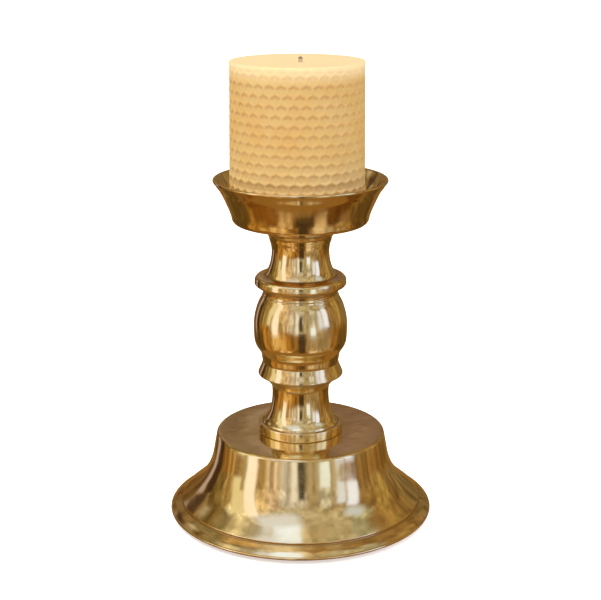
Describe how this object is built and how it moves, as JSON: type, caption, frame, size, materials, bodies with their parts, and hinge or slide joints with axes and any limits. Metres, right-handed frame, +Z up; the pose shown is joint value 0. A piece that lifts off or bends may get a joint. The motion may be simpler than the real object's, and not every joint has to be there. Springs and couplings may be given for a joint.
{
  "type": "pillar candlestick",
  "caption": "Turned brass pillar candlestick: bell base, knopped stem and drip pan clamped on a rod, with a honeycomb beeswax candle that lifts off its spike.",
  "frame": {"origin": "centre of the base's rim, at table height", "axes": "+Z up along the stem; the candle's own centre is 1.5 mm towards -X"},
  "size_m": [0.1272, 0.1272, 0.2207],
  "materials": {
    "polished_brass": "polished, mirror-like, lightly tarnished",
    "turned_brass": "as turned, unpolished",
    "zinc_steel": "zinc plated",
    "spring_steel": "oiled black spring steel",
    "beeswax": "waxy, slightly translucent, honeycomb-embossed",
    "cotton_wick": "braided cotton, charred at the tip"
  },
  "bodies": {
    "stand": {"base": "polished_brass", "lower_stem": "polished_brass", "knop": "polished_brass", "upper_stem": "polished_brass", "drip_pan": "polished_brass", "pricket": "turned_brass", "tie_rod": "zinc_steel", "base_washer": "zinc_steel", "lock_washer": "spring_steel", "base_nut": "zinc_steel"},
    "candle_body": {"candle": "beeswax", "wick": "cotton_wick"}
  },
  "joints": [
    {"name": "candle_lift", "type": "slide", "parent": "stand", "child": "candle_body", "axis": [0, 0, 1], "range_m": [0, 0.06]}
  ]
}
